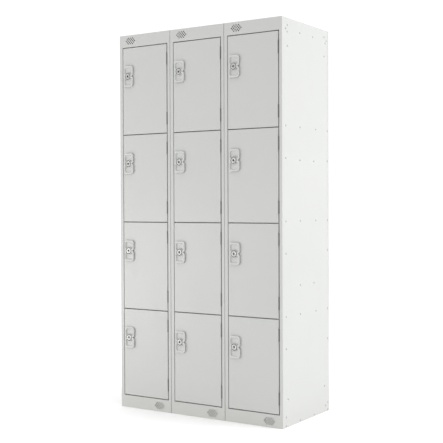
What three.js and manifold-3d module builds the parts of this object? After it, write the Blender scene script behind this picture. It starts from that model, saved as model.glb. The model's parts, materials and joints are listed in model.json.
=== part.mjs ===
// A nest of three steel locker columns with four doors in each.
// Millimetres, +Z up. The origin is on the floor, midway between the sides and midway between
// the back and the foremost face of the locks. -Y is the front, +X is the user's right.

import * as THREE from "three";
import { mergeVertices } from "three/addons/utils/BufferGeometryUtils.js";
import Module from "manifold-3d";

const wasm = await Module();
wasm.setup();

// ---------------------------------------------------------------- driving dimensions

// Whole cabinet
const BAYS = 3;
const TIERS = 4;
const BAY_WIDTH = 300;
const HEIGHT = 1800;
const DEPTH = 450;
const SHEET = 1; // pressed steel of the carcase
const FIT = 0.3; // gap left between pieces that touch

// Front frame of one bay
const RAIL = 58; // top and bottom rails
const LOCK_STILE = 18;
const HINGE_STILE = 15.5;
const OUTER_RETURN = 25; // depth of the frame's outer edge
const STOP_LIP = 12; // lip that the doors close against

// Vents: staggered rows of round holes in the rails
const VENT_ROWS = [3, 4, 5, 4, 3];
const VENT_PITCH_X = 12.6;
const VENT_PITCH_Z = 6.6;
const VENT_HOLE_R = 2.2;
const VENT_SIDES = 6;
const VENT_INSET_TOP = 66; // from the lock side of the bay
const VENT_INSET_BOTTOM = 68; // from the hinge side of the bay
const VENT_FROM_EDGE = 28; // from the top or the floor

// Doors
const DOOR_SHEET = 1;
const DOOR_PAN = 15; // depth of the door's flanges
const STOP_CLEAR = 1; // between the back of a door and the stop lip
const DOOR_LIP = 9; // inward lip at the back of the flanges
const LOCK_GAP = 3;
const HINGE_GAP = 3.5;
const TIER_GAP = 4;

// Hinges, two to a door
const HINGE_LENGTH = 55;
const HINGE_FROM_END = 68; // hinge centre to the end of the door
const PIN_R = 1.5;
const PIN_CLEAR = 0.5;
const KNUCKLE_WALL = 1;
const PIN_SIDES = 6;
const PIN_BEHIND_FACE = 1.9;
const PIN_PAST_DOOR = 0.5;
const LUG_WALL = 1; // around the pin
const LUG_THICK = 2.5;
const LUG_CLEAR = 1; // around a lug in the door's slot
const HINGE_PLAY = 0.4; // end play at each lug
const STRIP_THICK = 1.5;
const STRIP_WIDTH = 12.7;
const STRIP_PAST_HINGE = 12;

// Locks
const LOCK_INSET = 34.5; // barrel centre to the free edge of the door
const LOCK_DROP = 136.5; // barrel centre to the top of the door
const PLATE_THICK = 8.7;
const PLATE_LEFT = 24.5;
const PLATE_RIGHT = 29.5;
const PLATE_HALF_HEIGHT = 50.5;
const PLATE_CORNER = 14;
const PLATE_CORNER_LEFT = 6;
const PLATE_WAIST = 0.4; // the two lobes stop this far from the middle
const PLATE_NOTCH = 14.5; // barrel centre to the bottom of the notch between the lobes
const POCKET_DEPTH = 4.5;
const POCKET_CORNER = 8;
const POCKET_MARGIN_LEFT = 6;
const POCKET_MARGIN_RIGHT = 7;
const POCKET_MARGIN_END = 9;
const POCKET_FROM_MIDDLE = 15.5;
const HOUSING_WALL = 1.2;
const HOUSING_BACK = 12; // behind the door's face
const BARREL_R = 9;
const BARREL_CLEAR = 0.8;
const BARREL_PROUD = 0.5; // in front of the plate
const BARREL_SIDES = 8;
const KEY_SLOT = [2, 8, 3]; // width, height, depth
const TONGUE_THICK = 2.5;
const TONGUE_WIDTH = 14;
const TONGUE_HEEL = 9;
const TONGUE_CLEAR = 5; // behind the stop lip
const TONGUE_OVERLAP = 8; // over the stop lip when locked

// Shelves, top and base
const SHELF_FLANGE = 20;
const SHELF_ABOVE_GAP = 8; // shelf surface above the middle of the gap between two doors
const TOP_FLANGE = 20;
const BASE_BELOW_OPENING = 2;
const BASE_FOOT = 15; // turned in along the floor

// Holes for bolting nests together and spare shelf positions, in the two sides
const NEST_HOLE_R = 3;
const NEST_HOLE_SIDES = 6;
const NEST_HOLES_INSET = [50, 43]; // from the front and from the back
const NEST_HOLES_END = [32, 123]; // from the top and from the floor
const SPARE_HOLES_INSET = [165, 300]; // from the front

// ---------------------------------------------------------------- derived places

const WIDTH = BAYS * BAY_WIDTH;
const BASE_HEIGHT = RAIL - BASE_BELOW_OPENING;
const LOCK_PROUD = PLATE_THICK + FIT + BARREL_PROUD;
const FRONT = -(DEPTH - LOCK_PROUD) / 2; // y of the frame's face
const BACK = FRONT + DEPTH;
const BACK_PANEL_FRONT = BACK - SHEET;
const PANEL_FRONT = FRONT + OUTER_RETURN + FIT; // sides, partitions and trays
const PANEL_BACK = BACK_PANEL_FRONT - FIT;
const STOP_BACK = FRONT + DOOR_PAN + STOP_CLEAR + SHEET;
const FACE_HALF_GAP = FIT / 2; // between neighbouring frames

const OPENING_LEFT = LOCK_STILE;
const OPENING_RIGHT = BAY_WIDTH - HINGE_STILE;
const OPENING_TOP = HEIGHT - RAIL;
const DOOR_LEFT = OPENING_LEFT + LOCK_GAP;
const DOOR_RIGHT = OPENING_RIGHT - HINGE_GAP;
const DOOR_HEIGHT = (OPENING_TOP - RAIL - (TIERS + 1) * TIER_GAP) / TIERS;
const TIER_PITCH = DOOR_HEIGHT + TIER_GAP;

const BORE_R = PIN_R + PIN_CLEAR;
const KNUCKLE_R = BORE_R + KNUCKLE_WALL;
const PIN_X = DOOR_RIGHT + PIN_PAST_DOOR;
const PIN_Y = FRONT + PIN_BEHIND_FACE;
const LUG_R = PIN_R + LUG_WALL;
const STRIP_X = OPENING_RIGHT + SHEET + FIT;
const HINGE_NOTCH = 1.5; // cut into the stile beside a knuckle
const NOTCH_DEPTH = PIN_BEHIND_FACE + KNUCKLE_R + LUG_CLEAR;

const LOCK_X = DOOR_LEFT + LOCK_INSET;
const HOUSING_R = BARREL_R + BARREL_CLEAR + HOUSING_WALL;
const TONGUE_FRONT = STOP_BACK + TONGUE_CLEAR;
const TONGUE_REACH = LOCK_X - (OPENING_LEFT + STOP_LIP - TONGUE_OVERLAP);

const bayLeft = (bay) => -WIDTH / 2 + bay * BAY_WIDTH;
const doorTop = (tier) => OPENING_TOP - TIER_GAP - tier * TIER_PITCH;
const gapMiddle = (tier) => doorTop(tier) + TIER_GAP / 2; // above the door of that tier

// ---------------------------------------------------------------- colours

const paint = (color, roughness, metalness) =>
  new THREE.MeshStandardMaterial({ color, roughness, metalness });
const CARCASE_GREY = paint(0xc9cbc6, 0.5, 0.1);
const DOOR_GREY = paint(0xcccdca, 0.45, 0.1);
const PLATE_GREY = paint(0xc6c8c2, 0.5, 0);
const HINGE_STEEL = paint(0xb4b6b4, 0.4, 0.8);
const LOCK_STEEL = paint(0xb9bab6, 0.3, 0.9);

// ---------------------------------------------------------------- solids

// A closed geometry as a manifold solid.
function solid(geometry) {
  const bare = geometry.index ? geometry.toNonIndexed() : geometry.clone();
  bare.deleteAttribute("normal");
  bare.deleteAttribute("uv");
  const merged = mergeVertices(bare, 1e-3);
  return new wasm.Manifold(
    new wasm.Mesh({
      numProp: 3,
      vertProperties: merged.attributes.position.array,
      triVerts: new Uint32Array(merged.index.array),
    }),
  );
}

// A manifold solid as a geometry with flat faces, after its flush faces are merged.
function geometryOf(made) {
  const { vertProperties, triVerts } = made.asOriginal().getMesh();
  const geometry = new THREE.BufferGeometry();
  geometry.setAttribute("position", new THREE.BufferAttribute(vertProperties, 3));
  geometry.setIndex(new THREE.BufferAttribute(triVerts, 1));
  const flat = geometry.toNonIndexed();
  flat.computeVertexNormals();
  return flat;
}

const join = (solids) => solids.reduce((all, next) => all.add(next));
const cut = (from, solids) => from.subtract(join(solids));

// A box between two corners.
function box([x0, y0, z0], [x1, y1, z1]) {
  const geometry = new THREE.BoxGeometry(x1 - x0, y1 - y0, z1 - z0);
  return solid(geometry.translate((x0 + x1) / 2, (y0 + y1) / 2, (z0 + z1) / 2));
}

// A shape drawn in X and Z, made solid from y0 to y1.
function slab(shape, y0, y1, curveSegments = 2) {
  const geometry = new THREE.ExtrudeGeometry(shape, {
    depth: y1 - y0,
    bevelEnabled: false,
    curveSegments,
  });
  return solid(geometry.rotateX(Math.PI / 2).translate(0, y1, 0));
}

// An outline drawn in X and Y, made solid from z0 to z1.
function column(shape, z0, z1, curveSegments = 2) {
  const geometry = new THREE.ExtrudeGeometry(shape, {
    depth: z1 - z0,
    bevelEnabled: false,
    curveSegments,
  });
  return solid(geometry.translate(0, 0, z0));
}

// A round bar along Y, or along Z.
function barY(x, z, radius, y0, y1, sides) {
  const geometry = new THREE.CylinderGeometry(radius, radius, y1 - y0, sides);
  return solid(geometry.translate(x, (y0 + y1) / 2, z));
}

function barZ(x, y, radius, z0, z1, sides) {
  const geometry = new THREE.CylinderGeometry(radius, radius, z1 - z0, sides);
  return solid(geometry.rotateX(Math.PI / 2).translate(x, y, (z0 + z1) / 2));
}

// A rectangle with a corner radius of its own at each corner: lower left, lower right, upper
// right, upper left.
function roundedRect(x0, z0, x1, z1, [ll, lr, ur, ul]) {
  const shape = new THREE.Shape();
  shape.moveTo(x0 + ll, z0);
  shape.lineTo(x1 - lr, z0);
  shape.absarc(x1 - lr, z0 + lr, lr, -Math.PI / 2, 0, false);
  shape.lineTo(x1, z1 - ur);
  shape.absarc(x1 - ur, z1 - ur, ur, 0, Math.PI / 2, false);
  shape.lineTo(x0 + ul, z1);
  shape.absarc(x0 + ul, z1 - ul, ul, Math.PI / 2, Math.PI, false);
  shape.lineTo(x0, z0 + ll);
  shape.absarc(x0 + ll, z0 + ll, ll, Math.PI, 1.5 * Math.PI, false);
  return shape;
}

// A ring of rectangular outline in X and Z, from y0 to y1. Its inside is the given rectangle
// and its wall goes outwards; a negative wall goes inwards.
function ring([x0, z0, x1, z1], wall, y0, y1) {
  const grow = (by) => [x0 - by, z0 - by, x1 + by, z1 + by];
  const [outer, inner] = wall > 0 ? [grow(wall), grow(0)] : [grow(0), grow(wall)];
  const plate = (rect, a, b) => box([rect[0], a, rect[1]], [rect[2], b, rect[3]]);
  return plate(outer, y0, y1).subtract(plate(inner, y0 - 1, y1 + 1));
}

const group = new THREE.Group();

// Adds a solid made in a bay's own frame as a named mesh at that bay.
function place(name, made, material, bay = null) {
  const mesh = new THREE.Mesh(geometryOf(made), material);
  mesh.name = name;
  if (bay !== null) mesh.position.x = bayLeft(bay);
  group.add(mesh);
}

// ---------------------------------------------------------------- front frames

// The round holes of one vent, centred on x and z.
function ventHoles(x, z) {
  return VENT_ROWS.flatMap((count, row) =>
    Array.from({ length: count }, (_, i) =>
      barY(
        x + (i - (count - 1) / 2) * VENT_PITCH_X,
        z + (row - (VENT_ROWS.length - 1) / 2) * VENT_PITCH_Z,
        VENT_HOLE_R,
        FRONT - 1,
        FRONT + SHEET + 1,
        VENT_SIDES,
      ),
    ),
  );
}

const hingeMiddles = (tier) => {
  const top = doorTop(tier);
  return [top - HINGE_FROM_END, top - DOOR_HEIGHT + HINGE_FROM_END];
};
const allHinges = Array.from({ length: TIERS }, (_, tier) => hingeMiddles(tier)).flat();

function frontFrame() {
  const outline = [FACE_HALF_GAP, 0, BAY_WIDTH - FACE_HALF_GAP, HEIGHT];
  const opening = [OPENING_LEFT, RAIL, OPENING_RIGHT, OPENING_TOP];
  const [left, , right] = outline;
  const face = box([left, FRONT, 0], [right, FRONT + SHEET, HEIGHT]).subtract(
    box([opening[0], FRONT - 1, opening[1]], [opening[2], FRONT + SHEET + 1, opening[3]]),
  );
  const pressed = join([
    face,
    ring(outline, -SHEET, FRONT, FRONT + OUTER_RETURN),
    ring(opening, SHEET, FRONT, STOP_BACK),
    ring(opening, -STOP_LIP, STOP_BACK - SHEET, STOP_BACK).add(
      ring(opening, SHEET, STOP_BACK - SHEET, STOP_BACK),
    ),
  ]);
  const notches = allHinges.map((z) =>
    box(
      [OPENING_RIGHT - 1, FRONT - 1, z - HINGE_LENGTH / 2 - 2 * FIT],
      [OPENING_RIGHT + HINGE_NOTCH, FRONT + NOTCH_DEPTH, z + HINGE_LENGTH / 2 + 2 * FIT],
    ),
  );
  return cut(pressed, [
    ...notches,
    ...ventHoles(VENT_INSET_TOP, HEIGHT - VENT_FROM_EDGE),
    ...ventHoles(BAY_WIDTH - VENT_INSET_BOTTOM, VENT_FROM_EDGE),
  ]);
}

// ---------------------------------------------------------------- hinges

// A strip behind the hinge stile with two lugs and a fixed pin for each hinge.
function hingeStrip() {
  const lugShape = new THREE.Shape();
  lugShape.moveTo(PIN_X, PIN_Y - LUG_R);
  lugShape.absarc(PIN_X, PIN_Y, LUG_R, -Math.PI / 2, Math.PI / 2, true);
  lugShape.lineTo(STRIP_X + STRIP_THICK / 2, PIN_Y + LUG_R);
  lugShape.lineTo(STRIP_X + STRIP_THICK / 2, FRONT + SHEET + FIT);
  lugShape.lineTo(PIN_X + LUG_R, FRONT + SHEET + FIT);
  const hinges = allHinges.flatMap((z) => {
    const low = z - HINGE_LENGTH / 2;
    const high = z + HINGE_LENGTH / 2;
    return [
      column(lugShape, low, low + LUG_THICK),
      column(lugShape, high - LUG_THICK, high),
      barZ(PIN_X, PIN_Y, PIN_R, low + LUG_THICK / 2, high - LUG_THICK / 2, PIN_SIDES),
    ];
  });
  const reach = HINGE_LENGTH / 2 + STRIP_PAST_HINGE;
  const strip = box(
    [STRIP_X, FRONT + SHEET + FIT, Math.min(...allHinges) - reach],
    [STRIP_X + STRIP_THICK, FRONT + SHEET + FIT + STRIP_WIDTH, Math.max(...allHinges) + reach],
  );
  return join([strip, ...hinges]);
}

// ---------------------------------------------------------------- doors

function door(tier) {
  const top = doorTop(tier);
  const bottom = top - DOOR_HEIGHT;
  const outline = [DOOR_LEFT, bottom, DOOR_RIGHT, top];
  const back = FRONT + DOOR_PAN;
  const pan = join([
    box([DOOR_LEFT, FRONT, bottom], [DOOR_RIGHT, FRONT + DOOR_SHEET, top]),
    ring(outline, -DOOR_SHEET, FRONT, back),
    ring(outline, -DOOR_LIP, back - DOOR_SHEET, back),
  ]);
  const half = HINGE_LENGTH / 2;
  const knuckleHalf = half - LUG_THICK - HINGE_PLAY;
  const knuckles = hingeMiddles(tier).map((z) =>
    barZ(PIN_X, PIN_Y, KNUCKLE_R, z - knuckleHalf, z + knuckleHalf, PIN_SIDES),
  );
  const bores = hingeMiddles(tier).map((z) =>
    barZ(PIN_X, PIN_Y, BORE_R, z - half, z + half, PIN_SIDES),
  );
  // The lugs turn inside these slots in the hinged edge of the door.
  const slotLeft = PIN_X - LUG_R - LUG_CLEAR;
  const slotBack = PIN_Y + LUG_R + LUG_CLEAR;
  const slots = hingeMiddles(tier).flatMap((z) => [
    box([slotLeft, FRONT - 1, z - half - HINGE_PLAY], [PIN_X + 1, slotBack, z - knuckleHalf]),
    box([slotLeft, FRONT - 1, z + knuckleHalf], [PIN_X + 1, slotBack, z + half + HINGE_PLAY]),
  ]);
  const lockHole = barY(
    LOCK_X,
    top - LOCK_DROP,
    HOUSING_R + 2 * FIT,
    FRONT - 1,
    FRONT + DOOR_SHEET + 1,
    BARREL_SIDES,
  );
  return cut(join([pan, ...knuckles]), [...bores, ...slots, lockHole]);
}

// ---------------------------------------------------------------- locks

// A raised plate with two rounded lobes, a dished finger pocket in each, and the tube that
// carries the barrel through the door. It is drawn about the barrel's centre.
function lockPlate(tier) {
  const z = doorTop(tier) - LOCK_DROP;
  const back = FRONT - FIT;
  const front = back - PLATE_THICK;
  const round = PLATE_CORNER;
  const small = PLATE_CORNER_LEFT;
  const lobe = (low, high, corners) =>
    slab(
      roundedRect(LOCK_X - PLATE_LEFT, z + low, LOCK_X + PLATE_RIGHT, z + high, corners),
      front,
      back,
    );
  const pocket = (low, high) =>
    slab(
      roundedRect(
        LOCK_X - PLATE_LEFT + POCKET_MARGIN_LEFT,
        z + low,
        LOCK_X + PLATE_RIGHT - POCKET_MARGIN_RIGHT,
        z + high,
        [POCKET_CORNER, POCKET_CORNER, POCKET_CORNER, POCKET_CORNER],
      ),
      front - 1,
      front + POCKET_DEPTH,
      1,
    );
  const pocketEnd = PLATE_HALF_HEIGHT - POCKET_MARGIN_END;
  const body = join([
    lobe(PLATE_WAIST, PLATE_HALF_HEIGHT, [small, round, round, small]),
    lobe(-PLATE_HALF_HEIGHT, -PLATE_WAIST, [small, round, round, small]),
    box([LOCK_X - PLATE_LEFT, front, z - 1], [LOCK_X + PLATE_NOTCH, back, z + 1]),
    barY(LOCK_X, z, HOUSING_R, front, FRONT + HOUSING_BACK, BARREL_SIDES),
  ]);
  return cut(body, [
    pocket(POCKET_FROM_MIDDLE, pocketEnd),
    pocket(-pocketEnd, -POCKET_FROM_MIDDLE),
    barY(LOCK_X, z, BARREL_R + BARREL_CLEAR, front - 1, FRONT + HOUSING_BACK + 1, BARREL_SIDES),
  ]);
}

// The turning barrel with its key slot and, behind the door, the tongue. Unlocked, the tongue
// hangs down.
function lockBarrel(tier) {
  const z = doorTop(tier) - LOCK_DROP;
  const nose = FRONT - LOCK_PROUD;
  const [slotWidth, slotHeight, slotDepth] = KEY_SLOT;
  const barrel = barY(LOCK_X, z, BARREL_R, nose, TONGUE_FRONT + TONGUE_THICK / 2, BARREL_SIDES);
  const tongue = box(
    [LOCK_X - TONGUE_WIDTH / 2, TONGUE_FRONT, z - TONGUE_REACH],
    [LOCK_X + TONGUE_WIDTH / 2, TONGUE_FRONT + TONGUE_THICK, z + TONGUE_HEEL],
  );
  const keySlot = box(
    [LOCK_X - slotWidth / 2, nose - 1, z - slotHeight / 2],
    [LOCK_X + slotWidth / 2, nose + slotDepth, z + slotHeight / 2],
  );
  return barrel.add(tongue).subtract(keySlot);
}

// ---------------------------------------------------------------- sides and partitions

// The left side, a flat sheet between the frame and the back; the right side is its mirror image.
function sidePanel() {
  const across = (depth, z) => {
    const geometry = new THREE.CylinderGeometry(NEST_HOLE_R, NEST_HOLE_R, 8, NEST_HOLE_SIDES);
    return solid(geometry.rotateZ(Math.PI / 2).translate(0, FRONT + depth, z));
  };
  const nestLevels = NEST_HOLES_END.flatMap((end) => [end, HEIGHT - end]);
  const nestDepths = [NEST_HOLES_INSET[0], DEPTH - NEST_HOLES_INSET[1]];
  const spareLevels = [HEIGHT / 3 + RAIL / 3, (2 * HEIGHT) / 3 - RAIL / 3];
  return cut(box([0, PANEL_FRONT, 0], [SHEET, PANEL_BACK, HEIGHT]), [
    ...nestLevels.flatMap((z) => nestDepths.map((depth) => across(depth, z))),
    ...spareLevels.flatMap((z) => SPARE_HOLES_INSET.map((depth) => across(depth, z))),
  ]);
}

// A partition stands on the base and is centred on the joint between two bays.
const partition = () =>
  box([-SHEET / 2, PANEL_FRONT, BASE_HEIGHT + FIT], [SHEET / 2, PANEL_BACK, HEIGHT]);

// ---------------------------------------------------------------- shelves, top, base, back

// An upside-down tray: a plate whose flanges hang below it on the sides and the back, and at
// the front too if frontFlange says so. The plate's top is at z.
function tray(x0, x1, y0, y1, z, flange, frontFlange) {
  const hollow = box(
    [x0 + SHEET, frontFlange ? y0 + SHEET : y0 - 1, z - flange - 1],
    [x1 - SHEET, y1 - SHEET, z - SHEET],
  );
  return box([x0, y0, z - flange], [x1, y1, z]).subtract(hollow);
}

const TRAY_LEFT = SHEET + FIT;
const TRAY_RIGHT = BAY_WIDTH - SHEET - FIT;

// The shelf reaches forward between the frame's returns and stops the draught at the gap
// between two doors.
function shelf(tier) {
  const z = gapMiddle(tier) + SHELF_ABOVE_GAP;
  const noseInset = 2 * SHEET + 2 * FIT + FACE_HALF_GAP;
  const noseBack = PANEL_FRONT + FIT;
  const noseFront = STOP_BACK + SHEET + FIT;
  const corner = (x0, x1) => box([x0, STOP_BACK, z - SHELF_FLANGE - 1], [x1, noseBack, z + 1]);
  const full = tray(TRAY_LEFT, TRAY_RIGHT, noseFront, PANEL_BACK, z, SHELF_FLANGE, true);
  return cut(full, [corner(0, noseInset), corner(BAY_WIDTH - noseInset, BAY_WIDTH)]);
}

const topTray = () =>
  tray(TRAY_LEFT, TRAY_RIGHT, PANEL_FRONT, PANEL_BACK, HEIGHT, TOP_FLANGE, false);

// The base is one tray across all the bays, and its flanges turn in again along the floor.
function baseTray() {
  const half = WIDTH / 2 - SHEET - FIT;
  const inner = [half - BASE_FOOT, PANEL_FRONT + BASE_FOOT, PANEL_BACK - BASE_FOOT];
  const foot = box([-half, PANEL_FRONT, 0], [half, PANEL_BACK, SHEET]).subtract(
    box([-inner[0], inner[1], -1], [inner[0], inner[2], SHEET + 1]),
  );
  return tray(-half, half, PANEL_FRONT, PANEL_BACK, BASE_HEIGHT, BASE_HEIGHT, true).add(foot);
}

const backPanel = () => box([-WIDTH / 2, BACK_PANEL_FRONT, 0], [WIDTH / 2, BACK, HEIGHT]);

// ---------------------------------------------------------------- the cabinet

const left = sidePanel().translate(-WIDTH / 2, 0, 0);
place("side_panel_left", left, CARCASE_GREY);
place("side_panel_right", left.mirror([1, 0, 0]), CARCASE_GREY);
place("base_tray", baseTray(), CARCASE_GREY);
place("back_panel", backPanel(), CARCASE_GREY);

for (let bay = 0; bay < BAYS; bay++) {
  const column = `b${bay + 1}`;
  place(`front_frame_${column}`, frontFrame(), CARCASE_GREY, bay);
  place(`hinge_strip_${column}`, hingeStrip(), HINGE_STEEL, bay);
  place(`top_tray_${column}`, topTray(), CARCASE_GREY, bay);
  if (bay > 0) place(`partition_b${bay}_${column}`, partition(), CARCASE_GREY, bay);
  for (let tier = 0; tier < TIERS; tier++) {
    const locker = `${column}_t${tier + 1}`;
    if (tier > 0) place(`shelf_${locker}`, shelf(tier), CARCASE_GREY, bay);
    place(`door_${locker}`, door(tier), DOOR_GREY, bay);
    place(`lock_plate_${locker}`, lockPlate(tier), PLATE_GREY, bay);
    place(`lock_barrel_${locker}`, lockBarrel(tier), LOCK_STEEL, bay);
  }
}

export default group;
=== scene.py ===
"""A nest of steel lockers: pressed-sheet surfaces, finishes, light and camera on the CAD frame.

Run it as a script inside Blender. Lengths are in metres, and MM turns millimetres into metres.
"""

import json
import math

import bmesh
import bpy
import numpy as np
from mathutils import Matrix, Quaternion, Vector


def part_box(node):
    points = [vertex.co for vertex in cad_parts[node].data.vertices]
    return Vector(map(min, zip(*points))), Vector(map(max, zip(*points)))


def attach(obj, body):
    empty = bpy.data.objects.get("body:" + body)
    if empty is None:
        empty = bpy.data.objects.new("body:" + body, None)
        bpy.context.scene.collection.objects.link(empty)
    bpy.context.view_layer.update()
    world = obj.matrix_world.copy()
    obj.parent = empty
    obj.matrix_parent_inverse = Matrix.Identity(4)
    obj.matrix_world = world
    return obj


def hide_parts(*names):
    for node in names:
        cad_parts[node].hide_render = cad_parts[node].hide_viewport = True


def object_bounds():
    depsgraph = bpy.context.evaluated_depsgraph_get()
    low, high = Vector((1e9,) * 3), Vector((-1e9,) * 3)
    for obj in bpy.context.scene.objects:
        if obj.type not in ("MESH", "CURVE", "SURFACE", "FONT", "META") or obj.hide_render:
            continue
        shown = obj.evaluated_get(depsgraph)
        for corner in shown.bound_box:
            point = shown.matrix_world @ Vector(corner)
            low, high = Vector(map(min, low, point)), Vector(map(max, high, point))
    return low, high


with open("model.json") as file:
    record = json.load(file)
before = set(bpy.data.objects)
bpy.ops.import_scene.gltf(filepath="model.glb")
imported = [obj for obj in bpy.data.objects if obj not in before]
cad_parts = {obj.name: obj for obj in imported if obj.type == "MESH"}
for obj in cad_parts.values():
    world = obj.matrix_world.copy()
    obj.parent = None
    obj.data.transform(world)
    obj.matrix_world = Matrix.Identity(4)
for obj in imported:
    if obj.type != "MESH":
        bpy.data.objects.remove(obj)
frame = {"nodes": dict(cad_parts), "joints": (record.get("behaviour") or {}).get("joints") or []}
CAD_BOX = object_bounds()

bl_info = {
    "name": "Steel locker nest",
    "version": (1, 0, 0),
    "blender": (4, 5, 0),
    "location": "3D View > Sidebar > Lockers",
    "description": "Builds the pressed sheets, locks, hinges and finishes of a nest of lockers",
    "category": "Object",
}

MM = 0.001
JOINTS = {joint["name"]: joint for joint in frame["joints"]}
CARCASE = "carcase"


def numbered(stem):
    """What follows a stem in the names of the CAD nodes, such as "b1_t2" after "door_"."""
    return sorted(name.removeprefix(stem) for name in frame["nodes"] if name.startswith(stem))


BAYS = numbered("front_frame_")
LOCKERS = numbered("door_")
HEIGHT = CAD_BOX[1].z
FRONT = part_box(f"front_frame_{BAYS[0]}")[0].y
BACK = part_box("back_panel")[1].y

# A shape's own right, outward and up axes, as rows, when it faces the front.
FACING_FRONT = np.array([[1, 0, 0], [0, -1, 0], [0, 0, 1]], float)

# Moves the sides of a box (x0, z0, x1, z1) inwards.
SHRINK = np.array([1, 1, -1, -1])


# ---------------------------------------------------------------- sizes and colours


def length(name, description, default_mm, **more):
    """A length property that is shown in scene units and given here in millimetres."""
    return bpy.props.FloatProperty(
        name=name, description=description, default=default_mm * MM, unit="LENGTH", **more
    )


def colour(name, description, default):
    return bpy.props.FloatVectorProperty(
        name=name, description=description, default=default, subtype="COLOR", min=0, max=1
    )


class SheetSizes(bpy.types.PropertyGroup):
    """The pressed steel of the frames and doors."""

    thickness: length("Sheet", "Thickness of the steel", 1.0)
    bend: length("Bend radius", "Inside radius of a fold", 0.9)
    stop_lip: length("Stop lip", "Lip of the frame that the doors close against", 12.0)
    door_lip: length("Door lip", "Lip at the back of a door's flanges", 9.0)
    door_crown: length("Door crown", "How far the middle of a door bows outwards", 0.25)
    vent_hole: length("Vent hole", "Radius of a punched vent hole", 3.1)
    vent_pitch_x: length("Vent pitch across", "Distance between holes in a row", 12.6)
    vent_pitch_z: length("Vent pitch up", "Distance between rows", 6.6)
    vent_from_edge: length("Vent height", "Middle of a vent to the top or the floor", 28.0)
    vent_inset_top: length("Top vent inset", "Top vent to the lock side of its bay", 66.0)
    vent_inset_bottom: length("Bottom vent inset", "Bottom vent to the hinge side", 68.0)
    lock_gap: length("Lock gap", "Gap along a door's free edge", 3.0)
    hinge_gap: length("Hinge gap", "Gap along a door's hinged edge", 4.3)
    tier_gap: length("Tier gap", "Gap above and below a door", 4.0)
    margin: length("Flat margin", "Width of a door's edge outside its flat middle", 12.0)
    stop_clear: length("Stop gap", "Gap between a closed door and the stop lip", 1.0)
    nest_hole: length("Bolt hole", "Radius of the holes in the sides", 3.0)
    rivet: length("Rivet", "Radius of a rivet head", 4.7)
    inset: length("Sheet inset", "How far the sides and back lie in behind their rivet heads", 1.0)
    joint: length("Frame joint", "Half of the open joint between neighbouring frames", 0.6)


class LockSizes(bpy.types.PropertyGroup):
    """The raised plate, its finger pockets and the key barrel."""

    left: length("Plate left", "Barrel centre to the plate's left edge", 24.5)
    right: length("Plate right", "Barrel centre to the plate's right edge", 29.5)
    half_height: length("Plate half height", "Barrel centre to the plate's top", 50.5)
    proud: length("Plate proud", "Height of the rim above the door", 9.0)
    sunk: length("Plate sunk", "How far the plate's foot goes into the door's face", 0.2)
    corner: length("Lobe corner", "Radius of the lobes' right corners", 14.0)
    edge: length("Rim edge", "Radius of the rim's outer edge", 2.2)
    pocket: length("Pocket depth", "Depth of the finger pockets", 6.0)
    boss: length("Boss radius", "Radius of the round boss between the pockets", 17.8)
    collar: length("Collar radius", "Radius of the metal collar round the barrel", 12.8)
    barrel: length("Barrel radius", "Radius of the turning barrel", 8.6)


class HingeSizes(bpy.types.PropertyGroup):
    """The rolled knuckles, the lugs and the pins."""

    knuckle: length("Knuckle radius", "Outside radius of a rolled knuckle", 2.4)
    pin: length("Pin radius", "Radius of a hinge pin", 1.5)
    lug: length("Lug radius", "Radius of the round end of a lug", 2.5)
    span: length("Hinge length", "Length over both lugs", 55.0)
    lug_thick: length("Lug thickness", "Thickness of a lug", 2.5)
    play: length("End play", "Gap between a knuckle and its lugs", 0.4)
    from_end: length("Hinge to door end", "Hinge centre to the nearest end of the door", 68.0)
    past_door: length("Pin past the edge", "Pin centre beyond the door's edge", 1.3)
    strip_thick: length("Strip thickness", "Thickness of the strip behind the stile", 1.5)
    strip_width: length("Strip width", "Width of the strip, front to back", 12.7)


class Colours(bpy.types.PropertyGroup):
    """Colours of the finishes, before wear and dust."""

    coat: colour("Powder coat", "Light grey of the sheet steel", (0.465, 0.469, 0.455))
    plate: colour("Lock plate", "Grey of the lock plates", (0.495, 0.499, 0.484))
    # The key plug's near black is painted shade: it stands for the dark of the keyhole well.
    plug: colour("Key plug", "Blackened metal round the key slot", (0.09, 0.09, 0.088))
    nickel: colour("Nickel", "Key barrels, collars and nuts", (0.53, 0.53, 0.516))
    rivet: colour("Rivets", "Plain plated rivets", (0.34, 0.345, 0.35))
    # Partly the steel's own dark colour and partly painted shade: darkened so the knuckles and strip
    # read as the shaded hinge gap.
    hinge: colour("Hinge steel", "Oiled dark steel of knuckles and pins", (0.2, 0.2, 0.203))
    # Near black. The door buffers are real rubber, but on the lock's groove ring this colour is
    # painted shade of the groove.
    rubber: colour("Rubber", "Door buffers and lock gaskets", (0.05, 0.05, 0.052))
    floor: colour("Floor", "The plain studio floor", (0.955, 0.955, 0.955))


GROUPS = {"sheet": SheetSizes, "lock": LockSizes, "hinge": HingeSizes, "colours": Colours}


def sizes(group):
    """One of the scene's property groups, such as sizes("lock")."""
    return getattr(bpy.context.scene, f"lockers_{group}")


# ---------------------------------------------------------------- surfaces


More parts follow.
